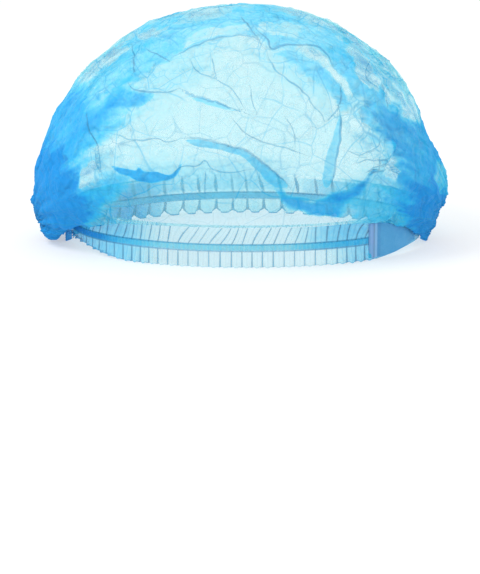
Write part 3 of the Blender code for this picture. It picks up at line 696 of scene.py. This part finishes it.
def buildCrown():
    angles, levels = crownAngles(), crownLevels()
    angle, level = np.meshgrid(angles, levels)
    points = crownForm(angle, level)
    normals = gridNormals(points)
    rows, columns = level.shape

    relief, bunching, strand = pleatFan(points)
    flat = points.reshape(-1, 3)
    coarse, fine = drift(flat, 22 * mm, 3.0), drift(flat, 7 * mm, 9.0)
    mirrored = flat.copy()
    middleY = rim["centre"][1]
    depth = mirrored[:, 1] - middleY
    mirrored[:, 1] = middleY - np.abs(depth)
    across, above = picturePlane(mirrored, camera)
    front = depth < 0

    layersIn = {"faintZone": [], "softZone": [], "middleZone": [], "deepZone": [], "darkZone": []}
    behind = softStep(depth / (25 * mm))
    for name, layers, soft, outline in overlaps:
        crisp = soft < 1.0
        bend = 0.8 if crisp else 2.6
        jag = 1.0 if crisp else 1.3
        x = across + bend * coarse[:, 0] + jag * fine[:, 0] + behind * 14 * coarse[:, 2]
        z = above + bend * coarse[:, 1] + jag * fine[:, 1]
        inside = insideOutline(x, z, roundedOff(outline)) / ((soft if crisp else soft * 2.0) * (1 + 6 * behind))
        if name not in wrapsRound:
            inside = np.where(front, inside, -9)
        if layers == 7.0 or layers == 9.5:
            inside = inside - 0.6
        group = next(zone for zone, least in zoneLayers if layers >= least)
        layersIn[group].append(np.clip(inside, -4, 4))
    zones = {group: np.max(values, axis=0) for group, values in layersIn.items()}
    cells = [insideOutline(across + 2 * fine[:, 0], above + 2 * fine[:, 1], outline) for outline in paleCells]
    zones["paleZone"] = np.clip(np.max(cells, axis=0) / 1.6 - 5 * behind, -4, np.where(above > 118, np.where(np.abs(across) > 58, 0.9, 0.2), 4.0))

    creaseGap = np.full(across.shape, 9.0)
    creaseSide = np.full(across.shape, 9.0)
    creaseRise = np.zeros(across.shape)
    x = across + 0.9 * coarse[:, 0] + 1.0 * fine[:, 0]
    z = above + 0.9 * coarse[:, 1] + 1.0 * fine[:, 1]
    for name, width, rise, run in creases:
        gap, side, along = nearestOnRun(x, z, roundedOff(run, closed=False))
        taper = np.clip(np.minimum(along, 1 - along) * 6, 0.2, 1)
        nearer = front & (gap < creaseGap)
        creaseGap = np.where(nearer, gap, creaseGap)
        creaseSide = np.where(nearer, side * gap / (0.8 * width * taper), creaseSide)
        lift = rise * taper * np.exp(-gap / 4.5)
        lift = lift + overhangSteps.get(name, 0.0) * side * taper * np.exp(-gap / 7.0)
        creaseRise += np.where(front, lift, 0)
    relief += creaseRise.reshape(rows, columns) * mm * 0.8
    crumpled = softStep(((across + 8) / 118) ** 2 + ((above - 96) / 78) ** 2 + 0.20 * coarse[:, 2])

    crumpled = crumpled * np.where(np.abs(across) < 92, np.clip((above - 42) / 36, 0.1, 1), 1)

    calm = softStep((level - 0.10) / 0.14)
    points = points + normals * (relief * calm)[..., None]

    # the gathers run on from the hems and die away up the wall
    rise = np.concatenate([np.zeros((1, columns)), np.cumsum(np.linalg.norm(np.diff(points, axis=0), axis=2), axis=0)])
    gatherLine = np.zeros((rows, columns))
    wavePhase = np.zeros((rows, columns))
    for side in ("front", "back"):
        onSide = angles >= math.pi if side == "front" else angles < math.pi
        path, lengths = halfRim(side == "front")
        length = np.interp(points[0, :, 0], path[:, 0], lengths)
        phase, strength = gatherWave(side, length, lengths[-1], points[0, :, 0] - rim["centre"][0])
        spec = gathers[side]
        fade = np.exp(-((rise / spec["fade"]) ** 2)) * np.where(onSide, 1, 0) * strength
        phase = leanedPhase(phase, side, hem["top"] + rise, length)
        sideways = unitRows(np.roll(points[0], -1, axis=0) - np.roll(points[0], 1, axis=0))
        outward = np.stack([sideways[:, 1], -sideways[:, 0], np.zeros(columns)], axis=-1)
        sideways = sideways * (1 if side == "front" else -1)
        fade = fade * softStep(rise / (7 * mm))
        points = points + outward * (np.cos(phase) * fade * spec["depth"] * spec["rise"])[..., None]
        points = points + sideways * (np.sin(2 * phase) * fade * spec["lean"] * spec["pitch"])[..., None]
        wavePhase += np.where(onSide, phase, 0)
        gatherLine += np.where(onSide, np.clip(1.15 - rise / (spec["lineTop"]), 0, 1) * np.clip(strength * 1.3, 0, 1), 0)

    piece = meshFromGrid("crownCloth", points, wraps=True)
    denser = np.where(angle < math.pi, 1.8, 0.0) * softStep((28 * mm - rise) / (19 * mm)) * softStep((46 * mm - points[..., 0]) / (20 * mm))
    storeAttribute(piece, "gather", bunching * 4.5 + denser)
    for group, values in zones.items():
        storeAttribute(piece, group, values)
    storeAttribute(piece, "creaseGap", creaseGap)
    storeAttribute(piece, "creaseSide", np.clip(creaseSide, -9, 9))
    storeAttribute(piece, "waveSin", np.sin(wavePhase))
    storeAttribute(piece, "waveCos", np.cos(wavePhase))
    storeAttribute(piece, "gatherFade", np.clip(gatherLine * 1.3, 0, 1))
    storeAttribute(piece, "crumpled", crumpled)
    storeAttribute(piece, "strand", strand)
    storeAttribute(piece, "rest", points)
    ragged = 1 + (0.8 * softStep((across - 30) / 50) + 0.4 * softStep((-across - 40) / 50)).reshape(rows, columns)
    storeAttribute(piece, "calm", softStep((rise - 4 * mm) / (14 * mm)) * (0.4 + 0.6 * crumpled.reshape(rows, columns)) * ragged)
    return piece


# ---- crumples: a Geometry Nodes tree that dents any cloth it is put on
crumple = {"cell": 25 * mm, "depth": 6.5 * mm, "fineCell": 10 * mm, "fineDepth": 4.6 * mm, "seed": 5.0}


class GeoTree:
    # a Geometry Nodes tree with named inputs
    def __init__(self, name):
        self.tree = bpy.data.node_groups.new(name, "GeometryNodeTree")
        self.ids = {}
        self.geometryIn = self.tree.interface.new_socket("Geometry", in_out="INPUT", socket_type="NodeSocketGeometry")
        self.tree.interface.new_socket("Geometry", in_out="OUTPUT", socket_type="NodeSocketGeometry")
        self.source = None

    def number(self, name, value):
        socket = self.tree.interface.new_socket(name, in_out="INPUT", socket_type="NodeSocketFloat")
        socket.default_value = value
        self.ids[name] = socket.identifier

    def start(self):
        self.source = self.tree.nodes.new("NodeGroupInput")
        return self.source

    def node(self, kind, settings=None, inputs=None, output=0):
        made = self.tree.nodes.new(kind)
        for key, value in (settings or {}).items():
            setattr(made, key, value)
        for key, value in (inputs or {}).items():
            if isinstance(value, bpy.types.NodeSocket):
                self.tree.links.new(value, made.inputs[key])
            else:
                made.inputs[key].default_value = value
        return made.outputs[output]

    def maths(self, operation, *values):
        return self.node("ShaderNodeMath", {"operation": operation}, dict(enumerate(values)))

    def vector(self, operation, *values, output=0):
        return self.node("ShaderNodeVectorMath", {"operation": operation}, dict(enumerate(values)), output)

    def finish(self, geometry, material):
        real = self.node("GeometryNodeRealizeInstances", {}, {"Geometry": geometry})
        done = self.node("GeometryNodeSetMaterial", {}, {"Geometry": real, "Material": material})
        sink = self.tree.nodes.new("NodeGroupOutput")
        self.tree.links.new(done, sink.inputs[0])

    def apply(self, piece, **values):
        modifier = piece.modifiers.new(self.tree.name, "NODES")
        modifier.node_group = self.tree
        for name, value in values.items():
            modifier[self.ids[name]] = value
        bpy.context.view_layer.update()
        evaluated = piece.evaluated_get(bpy.context.evaluated_depsgraph_get())
        mesh = bpy.data.meshes.new_from_object(evaluated)
        piece.modifiers.clear()
        piece.data = mesh
        return piece


def crumpleTree(material):
    geo = GeoTree("crumpleCloth")
    for name in ("Cell", "Depth", "Fine Cell", "Fine Depth", "Seed"):
        geo.number(name, 0.01)
    source = geo.start()
    where = geo.node("GeometryNodeInputPosition")
    normal = geo.node("GeometryNodeInputNormal")
    calm = geo.node("GeometryNodeInputNamedAttribute", {"data_type": "FLOAT"}, {"Name": "calm"})
    total = None
    for cellName, depthName, bend in (("Cell", "Depth", 0.55), ("Fine Cell", "Fine Depth", 0.45)):
        scale = geo.maths("DIVIDE", 1.0, source.outputs[cellName])
        warp = geo.node("ShaderNodeTexNoise", {"noise_dimensions": "4D"}, {"Vector": where, "W": source.outputs["Seed"], "Scale": scale, "Detail": 2.0}, "Color")
        reach = geo.maths("MULTIPLY", source.outputs[cellName], bend)
        pushed = geo.vector("SCALE", warp)
        geo.tree.links.new(reach, pushed.node.inputs["Scale"])
        bentPlace = geo.vector("ADD", where, pushed)
        first = geo.node("ShaderNodeTexVoronoi", {"voronoi_dimensions": "4D", "feature": "F1"}, {"Vector": bentPlace, "W": source.outputs["Seed"], "Scale": scale})
        second = geo.node("ShaderNodeTexVoronoi", {"voronoi_dimensions": "4D", "feature": "F2"}, {"Vector": bentPlace, "W": source.outputs["Seed"], "Scale": scale})
        pillow = geo.maths("SUBTRACT", second, first)
        sign = geo.node("ShaderNodeTexNoise", {}, {"Vector": where, "Scale": geo.maths("MULTIPLY", scale, 0.35), "Detail": 1.0})
        leaning = geo.maths("MULTIPLY", geo.maths("SUBTRACT", sign, 0.5), 4.5)
        dent = geo.maths("MULTIPLY", geo.maths("MULTIPLY", geo.maths("SUBTRACT", pillow, 0.25), leaning), source.outputs[depthName])
        total = dent if total is None else geo.maths("ADD", total, dent)
    push = geo.vector("SCALE", normal)
    geo.tree.links.new(geo.maths("MULTIPLY", total, calm), push.node.inputs["Scale"])
    moved = geo.node("GeometryNodeSetPosition", {}, {"Geometry": source.outputs["Geometry"], "Offset": push})
    geo.finish(moved, material)
    return geo


crownCloth = buildCrown()
crumpleTree(crownMaterial()).apply(
    crownCloth,
    **{"Cell": crumple["cell"], "Depth": crumple["depth"], "Fine Cell": crumple["fineCell"], "Fine Depth": crumple["fineDepth"], "Seed": crumple["seed"]},
)
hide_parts("crown")
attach(crownCloth, "root")
print("crown built,", len(crownCloth.data.polygons), "faces")


# ---- the hems: pleated strips, frill below and gathers above a pinched band


def buildHem(name, side):
    spec = gathers[side]
    front = side == "front"
    path, lengths = halfRim(front)
    total = lengths[-1]
    clear = 1.2 * mm
    count = int(round((total - 2 * clear) / spec["pitch"] * hem["samples"] * (1.0 if front else 1.7)))
    length = np.linspace(clear, total - clear, count)
    x = np.interp(length, lengths, path[:, 0])
    y = np.interp(length, lengths, path[:, 1])
    along = unitRows(np.gradient(np.stack([x, y], axis=-1), axis=0))
    outward = np.stack([along[:, 1], -along[:, 0]], axis=-1) * (1 if front else -1)
    phase, strength = gatherWave(side, length, total, x - rim["centre"][0])
    share = np.linspace(0, 1, hem["rows"])
    height = share * hem["top"]
    low, high = hem["frillDrop"], hem["frillDrop"] + hem["bandWidth"]
    frill = softStep((low - height) / low) ** 0.7
    above = softStep((height - high) / (4 * mm)) * softStep((hem["top"] - height) / (5 * mm))
    swing = np.where(height < low, frill, above * spec["rise"])
    flare = softStep((low - height) / low) * hem["flare"]
    around = np.abs(np.mod(phase / math.pi, 2) - 1)
    scallop = 0.5 - 0.5 * np.cos(phase * 2 + 0.8) if front else 1 - (1 - np.clip(around, 0, 1) ** 2.6) ** 0.42
    lobe = hem["lobeRise"] * scallop * strength * (1.0 if not front else 0.15)
    grid = leanedPhase(phase[None, :], side, height[:, None], length[None, :])
    points = np.zeros((hem["rows"], count, 3))
    out = swing[:, None] * np.cos(grid) * strength * spec["depth"] + flare[:, None] * strength
    skew = swing[:, None] * np.sin(2 * grid) * strength * spec["lean"] * spec["pitch"]
    for axis, values in ((0, x), (1, y)):
        points[..., axis] = values + outward[:, axis] * out + along[:, axis] * skew
    bottomShare = softStep((low - height) / low) ** 2
    lift = hem["rightLift"] * softStep((x - rim["centre"][0] - 84 * mm) / (34 * mm)) + hem["leftLift"] * softStep((82 * mm - length) / (60 * mm))
    lift = lift * (1.0 if front else 0.0)
    points[..., 2] = height[:, None] + bottomShare[:, None] * (lobe + lift)
    piece = meshFromGrid(name, points, wraps=False)

    nothing = np.zeros((hem["rows"], count))
    ribs = 0.5 + 0.5 * np.cos(2 * math.pi * length / (2.8 * mm))
    fromRight = np.where(height[:, None] > low, 142 * mm, 120 * mm) - total + length
    ends = spec["leftEnd"] * softStep((112 * mm - length) / (42 * mm)) + spec["rightEnd"] * softStep(fromRight / (48 * mm))
    above = softStep((height[:, None] - high) / (3 * mm)) * softStep((46 * mm - x) / (20 * mm))
    storeAttribute(piece, "gather", 0.6 * (np.clip(-np.cos(grid), 0, 1) * strength) + ends + above * spec["upperLayers"])
    bottom = lobe + lift
    steep = np.gradient(bottom, length)
    storeAttribute(piece, "edgeGap", (points[..., 2] - bottom) / np.sqrt(1 + steep**2) / mm)
    storeAttribute(piece, "waveSin", np.sin(grid))
    storeAttribute(piece, "waveCos", np.cos(grid))
    storeAttribute(piece, "height", height[:, None] / mm + nothing)
    storeAttribute(piece, "strength", np.clip(strength * 1.2, 0, 1) + nothing)
    storeAttribute(piece, "rib", ribs + nothing)
    storeAttribute(piece, "leftward", softStep((75 * mm - length) / (30 * mm)) * softStep((length - 6 * mm) / (10 * mm)) + nothing)
    return piece


for side in ("front", "back"):
    piece = buildHem(side + "Hem", side)
    piece.data.materials.append(hemMaterial(side + "HemCloth", side))
    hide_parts(side + "_hem")
    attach(piece, "root")
print("hems built")


# ---- elastics, flat ribbed bands just inside the hems
elastic = {"inset": 1.6 * mm, "clear": 4.0 * mm, "thickness": 0.6 * mm, "low": 11.3 * mm, "high": 15.3 * mm}


def sweptPlate(name, side, start, stop, near, far, low, high, count, ripple=0.0, ripplePitch=1.0, endRise=0.0):
    # a closed plate that follows the rim from one length to another, its faces at these distances outwards
    path, lengths = halfRim(side == "front")
    length = np.linspace(start, stop, count)
    spot = np.stack([np.interp(length, lengths, path[:, k]) for k in (0, 1)], axis=-1)
    along = unitRows(np.gradient(spot, axis=0))
    outward = np.stack([along[:, 1], -along[:, 0]], axis=-1) * (1 if side == "front" else -1)
    wave = ripple * np.cos(2 * math.pi * length / ripplePitch)
    corners = [(near, low), (far, low), (far, (low + high) / 2), (far, high), (near, high), (near, (low + high) / 2)]
    points = np.zeros((count, len(corners), 3))
    for k, (out, z) in enumerate(corners):
        push = out + (wave if out == far else 0 * wave)
        points[:, k, :2] = spot + outward * push[:, None]
        taper = endRise * softStep((length - start) / (stop - start)) ** 2
        points[:, k, 2] = z + taper * (1.0 if z < (low + high) / 2 else -0.6 if z == high else 0.2)
    faces = []
    for r in range(count - 1):
        for c in range(len(corners)):
            d = (c + 1) % len(corners)
            faces.append((r * 6 + c, r * 6 + d, (r + 1) * 6 + d, (r + 1) * 6 + c))
    faces.append(tuple(range(6)))
    faces.append(tuple((count - 1) * 6 + k for k in range(6)))
    mesh = bpy.data.meshes.new(name)
    mesh.from_pydata([tuple(v) for v in points.reshape(-1, 3)], [], faces)
    mesh.validate()
    piece = bpy.data.objects.new(name, mesh)
    bpy.context.scene.collection.objects.link(piece)
    outwardFaces(mesh)
    storeAttribute(piece, "along", np.repeat((length - start) / mm, len(corners)))
    return piece


def outwardFaces(mesh):
    # turns every face of a closed mesh to look outwards
    shape = bmesh.new()
    shape.from_mesh(mesh)
    bmesh.ops.recalc_face_normals(shape, faces=shape.faces)
    shape.to_mesh(mesh)
    shape.free()


def plainCloth(name, colour, layers):
    weave = Weave(name)
    where = weave.place()
    grain = weave.noise(where, 900.0, 3.0, 0.6)
    tone = weave.blend(grain, tuple(c * 0.86 for c in colour[:3]) + (1,), colour)
    bump = weave.node("ShaderNodeBump", {}, {"Strength": 0.6, "Distance": 1.0, "Height": grain * 0.0004})
    solid = weave.node("ShaderNodeBsdfPrincipled", {}, {"Base Color": tone, "Roughness": 0.7, "Specular IOR Level": 0.3, "Normal": bump})
    opening = weave.node("ShaderNodeBsdfTransparent", {}, {"Color": cloth["clearTint"]})
    return weave.finish(weave.node("ShaderNodeMixShader", {}, {0: cloth["clearPerLayer"] ** layers, 1: solid, 2: opening}))


elastics = []
for side in ("front", "back"):
    lengths = halfRim(side == "front")[1]
    band = sweptPlate(
        side + "Elastic", side, elastic["clear"], lengths[-1] - elastic["clear"],
        -elastic["inset"] - elastic["thickness"], -elastic["inset"], elastic["low"], elastic["high"],
        480, 0.12 * mm, 1.5 * mm,
    )
    band.data.materials.append(plainCloth(side + "ElasticBand", (0.42, 0.83, 0.98, 1) if side == "front" else (0.22, 0.70, 0.98, 1), 2.0 if side == "front" else 4.5))
    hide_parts(side + "_elastic")
    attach(band, "root")
    elastics.append(band)

# ---- the flat end of the strip, laid over the front hem
patch = {"from": 82.2 * mm, "to": 115.0 * mm, "low": 1.5 * mm, "high": 25.0 * mm, "near": 0.4 * mm, "far": 1.3 * mm}


def patchMaterial():
    # grey-blue, with pale stripes along its left side where the strip's edge turns: painted highlights on that turned
    # edge
    weave = Weave("patchCloth")
    where = weave.place()
    along = weave.attribute("along") / 30.0
    # the pale stops near the left side are painted highlights along the turned edge
    stops = [
        (0.0, (0.190, 0.380, 0.680)), (0.030, (0.200, 0.400, 0.720)), (0.050, (0.260, 0.480, 0.820)),
        (0.105, (0.235, 0.420, 0.760)), (0.120, (0.190, 0.330, 0.550)), (0.150, (0.200, 0.350, 0.580)),
        (0.165, (0.290, 0.550, 0.850)), (0.205, (0.280, 0.540, 0.850)), (0.230, (0.080, 0.320, 0.640)),
        (0.285, (0.075, 0.330, 0.640)), (0.340, (0.090, 0.400, 0.720)), (1.0, (0.080, 0.400, 0.750)),
    ]
    colour = weave.node("ShaderNodeValToRGB", {"stops": stops}, {0: along})
    cloud = weave.noise(where, 140.0, 3.0, 0.6)
    grain = weave.noise(where, 1200.0, 2.0, 0.6)
    colour = weave.blend(cloud.step(0.35, 0.75) * 0.45, colour, (0.150, 0.480, 0.780, 1))
    bump = weave.node("ShaderNodeBump", {}, {"Strength": 0.6, "Distance": 1.0, "Height": cloud * 0.002 + grain * 0.0002})
    solid = weave.node("ShaderNodeBsdfPrincipled", {}, {"Base Color": colour, "Roughness": 0.6, "Specular IOR Level": 0.3, "Normal": bump})
    opening = weave.node("ShaderNodeBsdfTransparent", {}, {"Color": cloth["clearTint"]})
    return weave.finish(weave.node("ShaderNodeMixShader", {}, {0: 0.12, 1: solid, 2: opening}))


def lengthAt(side, x):
    path, lengths = halfRim(side == "front")
    return float(np.interp(x + rim["centre"][0], path[:, 0], lengths))


flatPatch = sweptPlate(
    "flatEndPatch", "front", lengthAt("front", patch["from"]), lengthAt("front", patch["to"]),
    patch["near"], patch["far"], patch["low"], patch["high"], 120, endRise=5.0 * mm,
)
flatPatch.data.materials.append(patchMaterial())
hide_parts("flat_end_patch")
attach(flatPatch, "root")

# ---- end tabs: all the pleats pressed and welded into one stack
tab = {"length": 7.0 * mm, "height": 20.0 * mm, "thickness": 1.8 * mm, "turn": 62.0, "ribs": 12, "notch": 0.35 * mm}


def buildTab(name, side, spec=tab):
    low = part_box("left_end_tab" if side < 0 else "right_end_tab")
    middle = [(low[0][k] + low[1][k]) / 2 for k in range(2)]
    angle = math.radians(-side * spec["turn"])
    reach = np.array([math.cos(angle), math.sin(angle)]) * side
    across = np.array([-math.sin(angle), math.cos(angle)])
    half = spec["thickness"] / 2
    profile = []
    for rib in range(spec["ribs"]):
        for part, depth in ((0.0, spec["notch"]), (0.25, 0.05 * mm), (0.5, 0.0), (0.75, 0.05 * mm)):
            profile.append((half - depth, (rib + part) / spec["ribs"] * spec["height"]))
    profile.append((half - spec["notch"], spec["height"]))
    ring = profile + [(-out, z) for out, z in reversed(profile)]
    steps = np.linspace(-0.5, 0.5, 9)
    verts, faces = [], []
    for k, step in enumerate(steps):
        squeeze = 1 - 0.35 * abs(step * 2) ** 3
        for out, z in ring:
            spot = np.array(middle) + reach * (step * spec["length"]) + across * out * squeeze
            verts.append((spot[0], spot[1], z))
    n = len(ring)
    for r in range(len(steps) - 1):
        for c in range(n):
            d = (c + 1) % n
            faces.append((r * n + c, r * n + d, (r + 1) * n + d, (r + 1) * n + c))
    faces.append(tuple(range(n)))
    faces.append(tuple((len(steps) - 1) * n + k for k in range(n)))
    mesh = bpy.data.meshes.new(name)
    mesh.from_pydata(verts, [], faces)
    mesh.validate()
    outwardFaces(mesh)
    piece = bpy.data.objects.new(name, mesh)
    bpy.context.scene.collection.objects.link(piece)
    return piece


tabs = []
for name, side in (("left_end_tab", -1), ("right_end_tab", 1)):
    stack = buildTab("leftTab" if side < 0 else "rightTab", side)
    stack.data.materials.append(plainCloth(stack.name + "Cloth", (0.035, 0.36, 0.80, 1), 9.0))
    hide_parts(name)
    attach(stack, "root")
    tabs.append(stack)
print("bands, patch and tabs built")


# ---- floor and light
studio = {"floorSize": 8.0, "floorGlow": 0.45, "floorColour": (0.97, 0.975, 0.98, 1), "sky": 0.90, "key": 11.0, "fill": 4.0}


def buildFloor(spec):
    half = spec["floorSize"] / 2
    mesh = bpy.data.meshes.new("studioFloor")
    mesh.from_pydata([(-half, -half, -0.0003), (half, -half, -0.0003), (half, half, -0.0003), (-half, half, -0.0003)], [], [(0, 1, 2, 3)])
    floor = bpy.data.objects.new("studioFloor", mesh)
    bpy.context.scene.collection.objects.link(floor)
    weave = Weave("paleFloor")
    shade = weave.node("ShaderNodeBsdfDiffuse", {}, {"Color": spec["floorColour"]})
    lit = weave.node("ShaderNodeEmission", {}, {"Color": (1, 1, 1, 1), "Strength": 1.0})
    mesh.materials.append(weave.finish(weave.node("ShaderNodeMixShader", {}, {0: spec["floorGlow"], 1: shade, 2: lit})))


def addSoftbox(name, spot, aim, size, power):
    data = bpy.data.lights.new(name, "AREA")
    data.shape = "SQUARE"
    data.size = size
    data.energy = power
    light = bpy.data.objects.new(name, data)
    light.location = spot
    light.rotation_euler = (Vector(aim) - Vector(spot)).to_track_quat("-Z", "Y").to_euler()
    bpy.context.scene.collection.objects.link(light)


buildFloor(studio)
world = bpy.data.worlds.new("whiteStudio")
world.use_nodes = True
world.node_tree.nodes["Background"].inputs["Color"].default_value = (1, 1, 1, 1)
world.node_tree.nodes["Background"].inputs["Strength"].default_value = studio["sky"]
bpy.context.scene.world = world
addSoftbox("keySoftbox", (-0.9, -0.5, 1.3), (0, 0, 0.08), 0.7, studio["key"])
addSoftbox("fillSoftbox", (1.1, 0.7, 1.0), (0, 0, 0.08), 0.9, studio["fill"])
bpy.context.scene.view_settings.view_transform = "Standard"
bpy.context.scene.cycles.transparent_max_bounces = 20
bpy.context.scene.cycles.max_bounces = 6
print("studio built")
